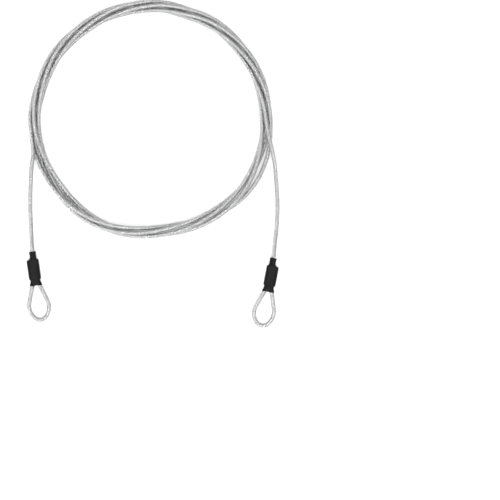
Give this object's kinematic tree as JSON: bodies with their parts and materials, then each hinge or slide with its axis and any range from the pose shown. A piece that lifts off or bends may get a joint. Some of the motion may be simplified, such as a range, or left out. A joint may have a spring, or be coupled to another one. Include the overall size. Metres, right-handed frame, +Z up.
{
  "type": "security cable",
  "caption": "Coated steel wire security cable in a loose coil, with a pressed loop eye at each end for a padlock or U-lock.",
  "frame": {"origin": "middle of the footprint, on the surface that the cable lies on", "axes": "+X from the left eye to the right eye, +Y from the two eyes towards the coil, +Z up"},
  "size_m": [0.2384, 0.3087, 0.0129],
  "materials": {
    "clear_jacket": "clear, slightly milky PVC, glossy",
    "steel_wire": "galvanised wire rope",
    "ferrule": "pressed, satin",
    "heat_shrink": "black, satin, faint grain"
  },
  "bodies": {
    "root": {"left_eye_jacket": "clear_jacket", "left_eye_outer_strands": "steel_wire", "left_eye_core_strand": "steel_wire", "left_tail_jacket": "clear_jacket", "left_tail_outer_strands": "steel_wire", "left_tail_core_strand": "steel_wire", "coil_jacket": "clear_jacket", "coil_outer_strands": "steel_wire", "coil_core_strand": "steel_wire", "right_tail_jacket": "clear_jacket", "right_tail_outer_strands": "steel_wire", "right_tail_core_strand": "steel_wire", "right_eye_jacket": "clear_jacket", "right_eye_outer_strands": "steel_wire", "right_eye_core_strand": "steel_wire", "left_ferrule": "ferrule", "right_ferrule": "ferrule", "left_sleeve": "heat_shrink", "right_sleeve": "heat_shrink"}
  },
  "joints": []
}
